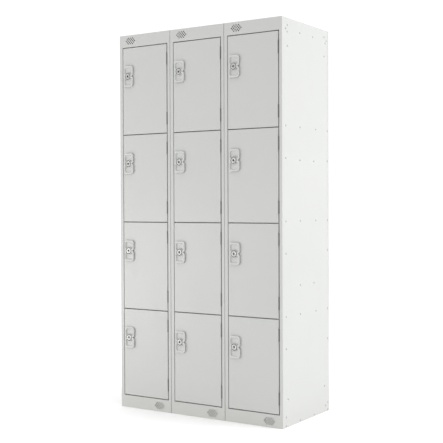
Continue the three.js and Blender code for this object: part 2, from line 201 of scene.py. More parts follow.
class Surface:
    """Gathers grids of points and flat caps into one mesh."""

    def __init__(self):
        self.points = []
        self.faces = []
        self.smooth = []
        self.count = 0

    def grid(self, points, loop_rows=False, loop_columns=False, smooth=True):
        """Adds a (rows, columns, 3) grid. loop_rows and loop_columns join its last line to its
        first. smooth is a flag, or an array of one flag for each column of faces."""
        rows, columns = points.shape[:2]
        index = self.count + np.arange(rows * columns).reshape(rows, columns)
        if loop_rows:
            index = np.vstack([index, index[:1]])
        if loop_columns:
            index = np.hstack([index, index[:, :1]])
        quads = np.stack([index[:-1, :-1], index[:-1, 1:], index[1:, 1:], index[1:, :-1]], axis=-1)
        flags = np.broadcast_to(np.asarray(smooth, bool), quads.shape[:2])
        self.points.append(points.reshape(-1, 3))
        self.faces += quads.reshape(-1, 4).tolist()
        self.smooth += flags.reshape(-1).tolist()
        self.count += rows * columns
        return index

    def cap(self, ring):
        """Closes a ring of point numbers with one flat face."""
        self.faces.append([int(i) for i in ring])
        self.smooth.append(False)

    def prism(self, outline, axes, origin, low, high):
        """A closed outline of (right, out) points carried from low to high along the third axis."""
        flat = np.column_stack([outline, np.zeros(len(outline))])
        ends = np.stack([flat + [0, 0, low], flat + [0, 0, high]])
        index = self.grid(ends @ axes + origin, loop_columns=True, smooth=False)
        self.cap(index[0, :-1])
        self.cap(index[1, :-1])

    def make(self, name):
        """The mesh object, with doubled points merged and its faces turned outwards."""
        mesh = bpy.data.meshes.new(name)
        mesh.from_pydata(np.concatenate(self.points), [], self.faces)
        mesh.polygons.foreach_set("use_smooth", self.smooth)
        work = bmesh.new()
        work.from_mesh(mesh)
        bmesh.ops.remove_doubles(work, verts=work.verts, dist=2e-6)
        bmesh.ops.dissolve_degenerate(work, edges=work.edges, dist=1e-7)
        bmesh.ops.recalc_face_normals(work, faces=work.faces)
        work.to_mesh(mesh)
        work.free()
        made = bpy.data.objects.new(name, mesh)
        bpy.context.scene.collection.objects.link(made)
        return made


def from_grid(name, grid, **joined):
    """The mesh object of a single grid."""
    surface = Surface()
    surface.grid(grid, **joined)
    return surface.make(name)


def in_mm(pairs):
    """Points given in millimetres, in metres."""
    return np.array(pairs, float) * MM


def circle(radius, count):
    """Points round a circle about (0, 0)."""
    angle = np.linspace(0, 2 * math.pi, count, endpoint=False)
    return radius * np.column_stack([np.cos(angle), np.sin(angle)])


def bend_line(corners, radii, steps=6):
    """A line of straight stretches with an arc at each inner corner, given by the corner points
    and a radius for each arc. An arc starts radius * tan(turn / 2) before its corner. Returns the
    points, their left-hand normals, and for each step between points whether it is curved."""
    corners = np.asarray(corners, float)
    ahead = np.diff(corners, axis=0)
    ahead /= np.linalg.norm(ahead, axis=1)[:, None]
    left = np.column_stack([-ahead[:, 1], ahead[:, 0]])
    points, normals, curved = [corners[:1]], [left[:1]], []
    for corner, before, after, normal, radius in zip(
        corners[1:-1], ahead[:-1], ahead[1:], left[:-1], np.broadcast_to(radii, len(corners) - 2)
    ):
        turn = math.atan2(before[0] * after[1] - before[1] * after[0], before @ after)
        side = math.copysign(1, turn)
        start = corner - before * radius * math.tan(abs(turn) / 2)
        angle = np.linspace(0, turn, steps + 1)
        spun = np.outer(np.cos(angle), normal) + np.outer(np.sin(angle), [-normal[1], normal[0]])
        points.append(start + side * radius * (normal - spun))
        normals.append(spun)
        curved += [False] + [True] * steps
    points.append(corners[-1:])
    normals.append(left[-1:])
    return np.concatenate(points), np.concatenate(normals), np.array(curved + [False])


def sheet_loop(corners, radii, thickness, steps=6):
    """The closed outline of a folded sheet: its centre line offset by half a thickness to each
    side. Returns the outline and a curved flag for each step round it."""
    points, normals, curved = bend_line(corners, radii, steps)
    near = points + normals * thickness / 2
    far = points - normals * thickness / 2
    outline = np.concatenate([near, far[::-1]])
    return outline, np.concatenate([curved, [False], curved[::-1], [False]])


def rings(boxes, corners, heights, per_corner=8):
    """Stacked rounded rectangles, each given by its box (x0, z0, x1, z1), its corner radii from
    the lower left anticlockwise, and its height. A box as wide as two radii is a circle. Returns
    a (rings, 4 * per_corner, 3) grid."""
    boxes = np.asarray(boxes, float)
    heights = np.asarray(heights, float)
    radii = np.broadcast_to(np.asarray(corners, float), (len(boxes), 4))[:, :, None]
    at_x = boxes[:, [0, 2, 2, 0], None] + radii * np.array([1, -1, -1, 1])[None, :, None]
    at_z = boxes[:, [1, 1, 3, 3], None] + radii * np.array([1, 1, -1, -1])[None, :, None]
    start = np.array([math.pi, 1.5 * math.pi, 0, 0.5 * math.pi])[None, :, None]
    angle = start + np.linspace(0, math.pi / 2, per_corner)[None, None, :]
    x = (at_x + radii * np.cos(angle)).reshape(len(boxes), -1)
    z = (at_z + radii * np.sin(angle)).reshape(len(boxes), -1)
    return np.stack([x, np.broadcast_to(heights[:, None], x.shape), z], axis=-1)


def closed(grid):
    """The same rings with a point in the middle of the first and of the last, repeated round."""
    first, last = (
        np.broadcast_to(end.mean(axis=1, keepdims=True), end.shape) for end in (grid[:1], grid[-1:])
    )
    return np.concatenate([first, grid, last])


def lathe(profile, per_corner=8):
    """Circles about the height axis from (radius, height) pairs."""
    profile = np.asarray(profile, float)
    radius = profile[:, 0]
    boxes = np.stack([-radius, -radius, radius, radius], axis=-1)
    return rings(boxes, np.repeat(radius[:, None], 4, axis=1), profile[:, 1], per_corner)


def edge_rounding(radius, steps=4):
    """(inset, drop) pairs over a rounded edge, from the wall to the top: inset = r (1 - cos a)
    and drop = r (1 - sin a) as a goes from 0 to a right angle."""
    angle = np.linspace(0, math.pi / 2, steps + 1)
    return radius * (1 - np.cos(angle)), radius * (1 - np.sin(angle))


def cut_out(made, cutter):
    """Subtracts the cutter's shape from a piece, then removes the cutter."""
    modifier = made.modifiers.new("cut", "BOOLEAN")
    modifier.operation = "DIFFERENCE"
    modifier.solver = "EXACT"
    modifier.object = cutter
    evaluated = made.evaluated_get(bpy.context.evaluated_depsgraph_get())
    mesh = bpy.data.meshes.new_from_object(evaluated)
    made.modifiers.clear()
    made.data = mesh
    bpy.data.objects.remove(cutter)


def join(made, other):
    """Adds another piece's faces to a piece, then removes the other piece."""
    work = bmesh.new()
    work.from_mesh(made.data)
    work.from_mesh(other.data)
    work.to_mesh(made.data)
    work.free()
    bpy.data.objects.remove(other)


# ---------------------------------------------------------------- materials


class Wire:
    """A number on its way through a material. Arithmetic on it adds Math nodes."""

    def __init__(self, tree, socket):
        self.tree = tree
        self.socket = socket

    def math(self, operation, *values):
        node = self.tree.nodes.new("ShaderNodeMath")
        node.operation = operation
        for socket, value in zip(node.inputs, values):
            plug(self.tree, socket, value)
        return Wire(self.tree, node.outputs[0])

    def __add__(self, other):
        return self.math("ADD", self, other)

    __radd__ = __add__

    def __mul__(self, other):
        return self.math("MULTIPLY", self, other)

    def __rsub__(self, other):
        return self.math("SUBTRACT", other, self)


def plug(tree, socket, value):
    """Links a Wire or a socket, or sets a plain value."""
    if isinstance(value, Wire):
        value = value.socket
    if isinstance(value, bpy.types.NodeSocket):
        tree.links.new(value, socket)
    else:
        socket.default_value = value


class Finish:
    """One material being built on object coordinates."""

    def __init__(self, name, **constants):
        self.material = bpy.data.materials.new(name)
        self.material.use_nodes = True
        self.tree = self.material.node_tree
        self.shader = self.tree.nodes["Principled BSDF"]
        self.place = self.add("ShaderNodeTexCoord").outputs["Object"]
        self.feed(**constants)

    def add(self, kind, settings=None, **inputs):
        """Adds any node: its settings first, then the values or links of its sockets, whose
        names are given with _ for a space."""
        node = self.tree.nodes.new(kind)
        for key, value in (settings or {}).items():
            setattr(node, key, value)
        for key, value in inputs.items():
            plug(self.tree, node.inputs[key.replace("_", " ")], value)
        return node

    def feed(self, **inputs):
        """Sets or links the shader's own sockets."""
        for key, value in inputs.items():
            plug(self.tree, self.shader.inputs[key.replace("_", " ")], value)

    def noise(self, scale, detail=2.0, stretch=(1, 1, 1)):
        """Smooth noise with about `scale` patches to the metre."""
        mapped = self.add("ShaderNodeMapping", Vector=self.place, Scale=stretch).outputs[0]
        settings = {"Scale": scale, "Detail": detail, "Roughness": 0.55}
        node = self.add("ShaderNodeTexNoise", Vector=mapped, **settings)
        return Wire(self.tree, node.outputs["Fac"])

    def axis(self, letter):
        """One of the object coordinates, "X", "Y" or "Z"."""
        node = self.add("ShaderNodeSeparateXYZ", Vector=self.place)
        return Wire(self.tree, node.outputs[letter])

    def step(self, value, low, high):
        """0 below low, 1 above high and a smooth rise between them."""
        smooth = {"interpolation_type": "SMOOTHSTEP"}
        node = self.add("ShaderNodeMapRange", smooth, Value=value, From_Min=low, From_Max=high)
        return Wire(self.tree, node.outputs["Result"])

    def blend(self, factor, first, second):
        """A colour between two colours."""
        node = self.add("ShaderNodeMix", {"data_type": "RGBA"})
        plug(self.tree, node.inputs["Factor"], factor)
        for socket, value in zip((node.inputs[6], node.inputs[7]), (first, second)):
            plug(self.tree, socket, value)
        return node.outputs[2]

    def relief(self, height, distance, strength=1.0):
        """Feeds a height to the shader's normal, full scale being `distance` metres."""
        node = self.add("ShaderNodeBump", Height=height, Distance=distance, Strength=strength)
        self.feed(Normal=node.outputs["Normal"])


def shade(rgb, factor):
    """A plain colour made lighter or darker, with its alpha."""
    return (*(min(1.0, c * factor) for c in rgb), 1.0)


def powder_coat(name, rgb):
    """Baked powder coat: fine orange peel, faint clouding, dust near the floor and dull rubbed
    patches."""
    made = Finish(name, IOR=1.5)
    peel = made.noise(620, 2.0)
    grain = made.noise(2600, 1.0)
    cloud = made.noise(2.3, 3.0)
    rubbed = made.step(made.noise(9, 4.0, (1, 1, 0.35)), 0.52, 0.75)
    dust = 1 - made.step(made.axis("Z") + cloud * 0.05, 0.02, 0.16)
    clean = made.blend(cloud, shade(rgb, 0.965), shade(rgb, 1.03))
    speckled = made.blend(grain * 0.10, clean, shade(rgb, 0.80))
    made.feed(Base_Color=made.blend(dust * 0.16, speckled, (0.50, 0.48, 0.44, 1)))
    made.feed(Roughness=0.40 + rubbed * 0.09 + grain * 0.07 + dust * 0.12)
    made.relief(peel * 0.75 + grain * 0.25, 0.00006, 0.55)
    return made.material


def plate_coat(name, rgb):
    """Moulded lock plate: a fine satin texture, a little darker in random smeared patches."""
    made = Finish(name, IOR=1.48)
    texture = made.noise(1500, 3.0)
    smear = made.noise(45, 3.0)
    worn = smear * 0.5 + texture * 0.25
    made.feed(Base_Color=made.blend(worn, shade(rgb, 1.05), shade(rgb, 0.86)))
    made.feed(Roughness=0.36 + smear * 0.14 + texture * 0.08)
    made.relief(texture, 0.00005, 0.5)
    return made.material


def turned_metal(name, rgb, roughness):
    """Plated metal with fine scratches and a little tarnish."""
    made = Finish(name, Metallic=1.0)
    scratch = made.noise(900, 2.0, (1, 1, 0.06))
    tarnish = made.noise(140, 3.0)
    made.feed(Base_Color=made.blend(tarnish * 0.6, shade(rgb, 1.06), shade(rgb, 0.78)))
    made.feed(Roughness=roughness + scratch * 0.16 + tarnish * 0.06)
    made.relief(scratch, 0.00003, 0.4)
    return made.material


def rubber(name, rgb):
    """Matt rubber with a dusty bloom."""
    made = Finish(name, IOR=1.45)
    bloom = made.noise(260, 3.0)
    made.feed(Base_Color=made.blend(bloom * 0.7, shade(rgb, 1.0), shade(rgb, 1.9)))
    made.feed(Roughness=0.72 + bloom * 0.15)
    made.relief(bloom, 0.00008, 0.5)
    return made.material


def floor_paint(name, rgb):
    """Plain pale studio floor with the faintest unevenness."""
    made = Finish(name)
    made.feed(Base_Color=made.blend(made.noise(1.5, 2.0), shade(rgb, 0.99), shade(rgb, 1.0)))
    made.feed(Roughness=0.85 + made.noise(30, 2.0) * 0.05)
    return made.material


# The recipe of each finish, its colour and, for metals, its roughness.
FINISHES = {
    "carcase_paint": (powder_coat, "coat"),
    "door_paint": (powder_coat, "coat"),
    "lock_plate": (plate_coat, "plate"),
    "lock_metal": (turned_metal, "nickel", 0.3),
    # The key plug's dark finish paints the shade of the keyhole onto the plug's face.
    "key_plug": (turned_metal, "plug", 0.38),
    # Dark steel, darkened further as painted shade of the hinge gap.
    "hinge_steel": (turned_metal, "hinge", 0.42),
    "rivet_metal": (turned_metal, "rivet", 0.5),
    # Real rubber on the buffers; on the groove ring round each lock collar it is painted shade.
    "rubber": (rubber, "rubber"),
    "floor": (floor_paint, "floor"),
}


def paint(made, look):
    """Gives an object the material of that name, made the first time it is asked for."""
    title = f"lockers_{look}"
    material = bpy.data.materials.get(title)
    if material is None:
        recipe, tint, *more = FINISHES[look]
        material = recipe(title, getattr(sizes("colours"), tint), *more)
    made.data.materials.clear()
    made.data.materials.append(material)


def finish_piece(made, body, look, *replaced):
    """Gives a new piece its material, its body and the CAD nodes it stands for."""
    paint(made, look)
    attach(made, body)
    if replaced:
        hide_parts(*replaced)


# ---------------------------------------------------------------- places taken from the frame


def bay_of(locker):
    return locker.split("_")[0]


def pin_of(locker):
    """A point on the door's hinge axis."""
    return Vector(JOINTS[f"door_swing_{locker}"]["pos_m"])


def barrel_of(locker):
    """Centre of the key barrel on the door's face."""
    return Vector(JOINTS[f"lock_turn_{locker}"]["pos_m"])


def at_lock(grid, locker):
    """A grid drawn about the centre of the barrel, moved to its place on the door."""
    return grid @ FACING_FRONT + np.array(barrel_of(locker))


def door_rectangle(locker):
    """x0, z0, x1, z1 of a door's face, without its knuckles."""
    low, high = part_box(f"door_{locker}")
    return low.x, low.z, pin_of(locker).x - sizes("hinge").past_door, high.z


def hinge_levels(locker):
    """Heights of the middles of a door's two hinges."""
    _, low, _, high = door_rectangle(locker)
    inset = sizes("hinge").from_end
    return low + inset, high - inset


def lockers_in(bay):
    return [locker for locker in LOCKERS if bay_of(locker) == bay]


def opening_of(bay):
    """x0, z0, x1, z1 of the hole in a front frame that its doors close."""
    sheet = sizes("sheet")
    doors = np.array([door_rectangle(locker) for locker in lockers_in(bay)])
    low, high = doors.min(axis=0), doors.max(axis=0)
    x0, x1 = low[0] - sheet.lock_gap, high[2] + sheet.hinge_gap
    return x0, low[1] - sheet.tier_gap, x1, high[3] + sheet.tier_gap


# ---------------------------------------------------------------- front frames


def front_frame(bay):
    """The frame's folded section carried round its rectangle. The section is drawn as distance in
    from the outer edge against depth behind the face. Its inner part moves with the width of each
    member, so the corners are mitred."""
    sheet = sizes("sheet")
    thick = sheet.thickness
    low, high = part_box(f"front_frame_{bay}")
    x0, z0, x1, z1 = opening_of(bay)
    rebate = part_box(f"door_{lockers_in(bay)[0]}")[1].y - FRONT + sheet.stop_clear + thick

    def section(width):
        corners = [
            (thick / 2, high.y - low.y),
            (thick / 2, thick / 2),
            (width - thick / 2, thick / 2),
            (width - thick / 2, rebate - thick / 2),
            (width + sheet.stop_lip, rebate - thick / 2),
        ]
        return sheet_loop(corners, sheet.bend + thick / 2, thick)

    left, curved = section(x0 - low.x - sheet.joint)
    right, _ = section(high.x - x1 - sheet.joint)
    under, _ = section(z0 - low.z)
    over, _ = section(high.z - z1)
    xs = (low.x + sheet.joint + left[:, 0], high.x - sheet.joint - right[:, 0])
    zs = (low.z + under[:, 0], high.z - over[:, 0])
    corners = [(xs[0], zs[0]), (xs[1], zs[0]), (xs[1], zs[1]), (xs[0], zs[1])]
    grid = np.stack([np.column_stack([x, FRONT + left[:, 1], z]) for x, z in corners])
    name = f"front_frame_{bay}_folded"
    return from_grid(name, grid, loop_rows=True, loop_columns=True, smooth=curved)


def vent_centres():
    """Hole centres of one vent about its middle: staggered rows that make a six-sided field."""
    sheet = sizes("sheet")
    rows = [3, 4, 5, 4, 3]
    across = [np.arange(count) - (count - 1) / 2 for count in rows]
    up = [np.full(count, row - (len(rows) - 1) / 2) for row, count in enumerate(rows)]
    return np.concatenate(across) * sheet.vent_pitch_x, np.concatenate(up) * sheet.vent_pitch_z


def frame_cutter(bay):
    """Everything that is punched out of a front frame: vent holes and hinge notches."""
    sheet, hinge = sizes("sheet"), sizes("hinge")
    low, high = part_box(f"front_frame_{bay}")
    hole = circle(sheet.vent_hole, 24)
    before, behind = -2 * MM, 3 * MM
    surface = Surface()
    vents = [
        (low.x + sheet.vent_inset_top, high.z - sheet.vent_from_edge),
        (high.x - sheet.vent_inset_bottom, low.z + sheet.vent_from_edge),
    ]
    through = np.array([[1, 0, 0], [0, 0, 1], [0, 1, 0]], float)
    for x, z in vents:
        for dx, dz in zip(*vent_centres()):
            surface.prism(hole, through, (x + dx, FRONT, z + dz), before, behind)
    edge = opening_of(bay)[2]
    left, right, clear = -3 * MM, 1.6 * MM, 0.6 * MM
    back = pin_of(lockers_in(bay)[0]).y - FRONT + hinge.knuckle + 1 * MM
    notch = [(left, before), (right, before), (right, back), (left, back)]
    half = hinge.span / 2 + clear
    for locker in lockers_in(bay):
        for level in hinge_levels(locker):
            surface.prism(notch, np.eye(3), (edge, FRONT, 0), level - half, level + half)
    return surface.make("cutter")


# ---------------------------------------------------------------- doors


def door_stations(locker):
    """Levels up a door at which its section is placed. Beside a hinge the edge is pressed in, so
    each end of a hinge is a step. Returns the levels on the outside and on the inside of the
    sheet, and the places of the steps among them."""
    sheet, hinge = sizes("sheet"), sizes("hinge")
    _, z0, _, z1 = door_rectangle(locker)
    past_lug, apart = 0.4 * MM, 3 * MM
    half = hinge.span / 2 + hinge.play + past_lug
    middles = np.array(sorted(hinge_levels(locker)))
    steps = np.stack([middles - half, middles + half], axis=1).reshape(-1)
    outwards = np.tile([-1.0, 1.0], len(middles)) * sheet.thickness
    plain = np.linspace(z0 + sheet.margin, z1 - sheet.margin, 15)
    plain = plain[np.abs(plain[:, None] - steps).min(axis=1) > apart]
    outside = np.concatenate([plain, steps])
    inside = np.concatenate([plain, steps + outwards])
    order = np.argsort(outside)
    return outside[order], inside[order], order >= len(plain)


def door_face(xs, zs, depth, crown):
    """The flat of a door as a grid, bowed outwards by crown * sin(pi u) * sin(pi v)."""
    u = (xs - xs[0]) / (xs[-1] - xs[0])
    v = (zs - zs[0]) / (zs[-1] - zs[0])
    bow = crown * np.sin(math.pi * u)[None, :] * np.sin(math.pi * v)[:, None]
    x, z = np.meshgrid(xs, zs)
    return np.stack([x, depth - bow, z], axis=-1)


def door_pan(locker):
    """A pressed door: its folded section carried round the rectangle, with the flat of the door
    inside it. Beside the hinges the edge is pressed back into a recess."""
    sheet, hinge = sizes("sheet"), sizes("hinge")
    thick = sheet.thickness
    x0, z0, x1, z1 = door_rectangle(locker)
    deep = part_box(f"door_{locker}")[1].y - FRONT
    pin = pin_of(locker).y - FRONT
    clear, sunk = 0.35 * MM, 0.05 * MM  # beside the knuckles, and how far they sink in
    recess = hinge.knuckle - hinge.past_door + thick / 2 + clear
    floor = pin + hinge.knuckle + thick / 2 - sunk
    lip_and_flange = [(sheet.door_lip, deep - thick / 2), (thick / 2, deep - thick / 2)]
    plain = lip_and_flange + [(thick / 2, floor + MM), (thick / 2, floor), (thick / 2, thick / 2)]
    pressed = lip_and_flange + [(thick / 2, floor), (recess, floor), (recess, thick / 2)]
    sections = []
    fold, ledge = sheet.bend + thick / 2, 0.9 * MM
    for corners in (plain, pressed):
        corners = corners + [(sheet.margin, thick / 2)]
        points, normals, curved = bend_line(corners, [fold, ledge, ledge, fold])
        outer, inner = points - normals * thick / 2, points + normals * thick / 2
        sections.append(np.concatenate([outer[::-1], inner]))
    plain, pressed = sections
    smooth = np.concatenate([curved[::-1], [False], curved])
    on_inside = np.arange(len(plain)) >= len(plain) // 2

    def upright(section, edge, inward, level, level_inside):
        z = np.where(on_inside, level_inside, level)
        z = np.clip(z, z0 + section[:, 0], z1 - section[:, 0])
        return np.column_stack([edge + inward * section[:, 0], FRONT + section[:, 1], z])

    def level(section, edge, inward, at):
        x = np.clip(at, x0 + section[:, 0], x1 - section[:, 0])
        return np.column_stack([x, FRONT + section[:, 1], edge + inward * section[:, 0]])

    xs = np.linspace(x0 + sheet.margin, x1 - sheet.margin, 9)
    outside, inside, is_step = door_stations(locker)
    rows = [level(plain, z0, 1, at) for at in (x0, *xs, x1)]
    section = plain
    for out_at, in_at, step in zip(outside, inside, is_step):
        rows.append(upright(section, x1, -1, out_at, in_at))
        if step:
            section = pressed if section is plain else plain
            rows.append(upright(section, x1, -1, out_at, in_at))
    rows += [level(plain, z1, -1, at) for at in (x1, *xs[::-1], x0)]
    rows += [upright(plain, x0, 1, *pair) for pair in zip(outside[::-1], inside[::-1])]

    surface = Surface()
    surface.grid(np.stack(rows), loop_rows=True, smooth=smooth)
    surface.grid(door_face(xs, outside, FRONT, sheet.door_crown))
    surface.grid(door_face(xs, inside, FRONT + thick, sheet.door_crown))
    return surface.make(f"door_{locker}_pressed")


def knuckles(locker):
    """A door's two hinge leaves. Each is a flat strip on the floor of the recess, rolled round the
    pin by three quarter turns. It is drawn from the door's edge."""
    hinge = sizes("hinge")
    pin = pin_of(locker).y - FRONT
    running_fit, open_from = 0.15 * MM, 0.4 * MM
    wall = hinge.knuckle - hinge.pin - running_fit
    mean = hinge.knuckle - wall / 2
    right, left = hinge.past_door + mean, hinge.past_door - mean
    front, back = pin - mean, pin + mean
    corners = [(left, back), (right, back), (right, front), (left, front), (left, pin + open_from)]
    outline, _ = sheet_loop(corners, [mean] * 3, wall, steps=8)
    half = hinge.span / 2 - hinge.lug_thick - hinge.play
    edge = door_rectangle(locker)[2]
    surface = Surface()
    for height in hinge_levels(locker):
        surface.prism(outline, np.eye(3), (edge, FRONT, 0), height - half, height + half)
    return surface.make(f"door_{locker}_knuckles")


# ---------------------------------------------------------------- locks


# How far the mouth and the floor of a finger pocket stay inside the plate's left edge, from the
# middle, inside its right edge and below its top, in millimetres. The outline comes first.
POCKET_MARGINS = ((0, -1.0, 0, 0), (4.6, 7.5, 2.6, 7.0), (7.4, 10, 13.5, 11.5))


def lobe_boxes(upper):
    """The outline, the mouth and the floor of one lobe and its finger pocket about the barrel's
    centre, and the lobe's corner radii. The floor is nearly under the mouth on the left and well
    inside it on the right, where fingers pull. The lobes overlap a little in the middle."""
    lock = sizes("lock")
    side = 1 if upper else -1

    def box(margins):
        left, near, right, far = (margin * MM for margin in margins)
        low, high = sorted((side * near, side * (lock.half_height - far)))
        return np.array([left - lock.left, low, lock.right - right, high])

    by_middle, by_end = 3 * MM, 6 * MM
    corners = np.array([by_middle, lock.corner, lock.corner, by_end])
    return *(box(margins) for margins in POCKET_MARGINS), corners[::side]


def lobe(upper):
    """One lobe as stacked rounded rectangles: up the wall, over the rounded rim, across to the
    pocket's mouth, then down by half a cosine to the floor, which is a shallow dish."""
    lock = sizes("lock")
    outline, mouth, floor, corners = lobe_boxes(upper)
    inset, drop = edge_rounding(lock.edge, steps=5)
    wall = [outline] + [outline + SHRINK * i for i in inset]
    least = 0.8 * MM
    wall_corners = [corners] + [np.maximum(corners - i, least) for i in inset]
    wall_heights = [-lock.sunk] + [lock.proud - d for d in drop]
    share = np.linspace(0, 1, 11)[:, None]
    slope = mouth + (floor - mouth) * share
    mouth_corner, floor_corner, sag = 9.5 * MM, 6 * MM, 0.9 * MM
    slope_corners = (mouth_corner + (floor_corner - mouth_corner) * share) * np.ones(4)
    slope_heights = lock.proud - lock.pocket * (1 - np.cos(math.pi * share[:, 0])) / 2
    centre = np.tile((floor[:2] + floor[2:]) / 2, 2)
    dish = np.linspace(0.25, 0.97, 5)[:, None]
    dish_boxes = floor + (centre - floor) * dish
    dish_corners = floor_corner * (1 - dish) * np.ones(4)
    dish_heights = lock.proud - lock.pocket - sag * np.sin(dish[:, 0] * math.pi / 2)
    stacked = rings(
        np.concatenate([wall, slope, dish_boxes]),
        np.concatenate([wall_corners, slope_corners, dish_corners]),
        np.concatenate([wall_heights, slope_heights, dish_heights]),
        per_corner=10,
    )
    return closed(stacked)


def boss():
    """The round boss between the pockets, with a groove round its metal collar."""
    lock = sizes("lock")
    top = lock.proud + 0.25 * MM
    inset, drop = edge_rounding(radius=1.0 * MM, steps=4)
    edge = [(lock.boss - i, top - d) for i, d in zip(inset, drop)]
    under = lock.collar / MM - 0.4
    groove = [(16.2, 0), (15.9, -0.3), (15.7, -3.6), (15.4, -4.0), (under, -4.0), (1, -4.0)]
    inside = in_mm(groove) + [0, top]
    return closed(lathe([(lock.boss, -lock.sunk), *edge, *inside], per_corner=12))


def housing():
    """The tube that carries the barrel through the door, with a chamfered end."""
    behind = [(11, 0.1), (11, -11), (10.4, -11.9), (9.4, -11.9), (9.2, -11), (9.2, -1)]
    return lathe(in_mm(behind), per_corner=10)


def lock_plate(locker):
    """The raised plate: two lobes, cut away round the boss between them, and the housing behind."""
    lock = sizes("lock")
    around, below, above = lock.boss - 1.4 * MM, -2 * MM, lock.proud + 3 * MM
    wall = closed(lathe([(around, below), (around, above)], per_corner=12))
    lobes = []
    for upper in (True, False):
        lobes.append(from_grid("lobe", at_lock(lobe(upper), locker), loop_columns=True))
        cut_out(lobes[-1], from_grid("cutter", at_lock(wall, locker), loop_columns=True))
    middle = Surface()
    middle.grid(at_lock(boss(), locker), loop_columns=True)
    middle.grid(at_lock(housing(), locker), loop_rows=True, loop_columns=True)
    made = middle.make(f"lock_plate_{locker}_moulded")
    for part in lobes:
        join(made, part)
    return made


def collar(locker):
    """The plated collar that the barrel turns in."""
    lock = sizes("lock")
    top, foot = lock.proud + 0.3 * MM, lock.proud - 4.2 * MM
    outer, inner = lock.collar, lock.barrel + 0.35 * MM
    outer_rim = in_mm([(0, -0.5), (-0.5, 0)]) + [outer, top]
    inner_rim = in_mm([(1.0, 0), (0.2, -0.35), (0, -1)]) + [inner, top]
    section = [(outer, foot), *outer_rim, *inner_rim, (inner, foot)]
    ring = at_lock(lathe(section, per_corner=12), locker)
    return from_grid(f"lock_collar_{locker}", ring, loop_rows=True, loop_columns=True)


def barrel(locker):
    """The turning barrel: circles from behind the door up to its rim and down into the well that
    holds the key plug. Behind the door it carries the tongue and its screw."""
    lock = sizes("lock")
    low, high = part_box(f"lock_barrel_{locker}")
    nose, back = FRONT - low.y, FRONT - high.y
    foot = back + 1 * MM
    inset, drop = edge_rounding(radius=0.7 * MM, steps=4)
    profile = [(lock.barrel, foot)]
    profile += [(lock.barrel - i, nose - d) for i, d in zip(inset, drop)]
    profile += [*(in_mm([(5.7, 0), (5.4, -0.3), (5.3, -2.6)]) + [0, nose])]
    screw = in_mm([(2.2, 0.0), (4.2, 0.1), (4.5, 0.3), (4.5, 1.0)]) + [0, back]
    turned = closed(lathe(profile, per_corner=10))
    surface = Surface()
    for grid in (turned, tongue(low, high, barrel_of(locker)), closed(lathe(screw))):
        surface.grid(at_lock(grid, locker), loop_columns=True)
    return surface.make(f"lock_barrel_{locker}_turned")


def key_plug(locker):
    """The plug in the barrel's well, coloured near black as painted shade of the keyhole: circles
    over its face, then rounded boxes that narrow to the key slot and go down it."""
    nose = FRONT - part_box(f"lock_barrel_{locker}")[0].y
    face, chamfer = nose - 0.9 * MM, 0.3 * MM
    foot, slot_floor = nose - 3 * MM, nose - 2.9 * MM
    radius = in_mm([5.25, 5.25, 4.9])
    circles = np.stack([-radius, -radius, radius, radius], axis=-1)
    half_width, half_height, rim, rounding = in_mm([1.2, 3.6, 0.15, 1.0])
    slot = np.array([-half_width, -half_height, half_width, half_height])
    slots = np.stack([slot, slot + SHRINK * rim, slot + SHRINK * rim])
    grid = rings(
        np.concatenate([circles, slots]),
        np.concatenate([np.repeat(radius[:, None], 4, axis=1), np.full((3, 4), rounding)]),
        [foot, face - chamfer, face, face, face - chamfer, slot_floor],
    )
    return from_grid(f"key_plug_{locker}", at_lock(closed(grid), locker), loop_columns=True)


def tongue(low, high, centre):
    """The flat tongue as a rounded box with rounded edges, between its two faces. low and high
    are the corners of the CAD barrel's box, which the tongue reaches on three sides."""
    thick, heel, inside, corner = in_mm([2.5, 9, 2, 4])
    back = FRONT - high.y
    left, right = low.x - centre.x + inside, high.x - centre.x - inside
    outline = np.array([left, low.z - centre.z, right, heel])
    inset, drop = edge_rounding(radius=0.5 * MM, steps=3)
    insets = np.concatenate([inset[::-1], inset])[:, None]
    heights = np.concatenate([back + drop[::-1], back + thick - drop])
    return closed(rings(outline + SHRINK * insets, corner - insets * np.ones(4), heights))


def groove_shade_ring(locker):
    """A near-black ring in the groove between the boss and its collar: painted shade of the groove,
    in the rubber finish.
    """
    section = [(15.75, 0), (15.75, 2.0), (15.3, 2.4), (13.2, 2.4), (12.7, 2.0), (12.7, 0)]
    groove_floor = sizes("lock").proud - 4.0 * MM
    ring = at_lock(lathe(in_mm(section) + [0, groove_floor], per_corner=12), locker)
    return from_grid(f"lock_gasket_{locker}", ring, loop_rows=True, loop_columns=True)


def lock_nut(locker):
    """The six-sided nut that clamps the lock from inside the door, with a chamfered edge."""
    levels = [(11.2, -1.05), (15.2, -1.05), (16.0, -1.6), (16.0, -4.4), (15.2, -5.0), (11.2, -5.0)]
    rows = [(circle(radius, 6), np.full(6, height)) for radius, height in in_mm(levels)]
    grid = np.stack([np.column_stack([ring[:, 0], height, ring[:, 1]]) for ring, height in rows])
    joined = {"loop_rows": True, "loop_columns": True, "smooth": False}
    return from_grid(f"lock_nut_{locker}", at_lock(grid, locker), **joined)


# ---------------------------------------------------------------- hinges


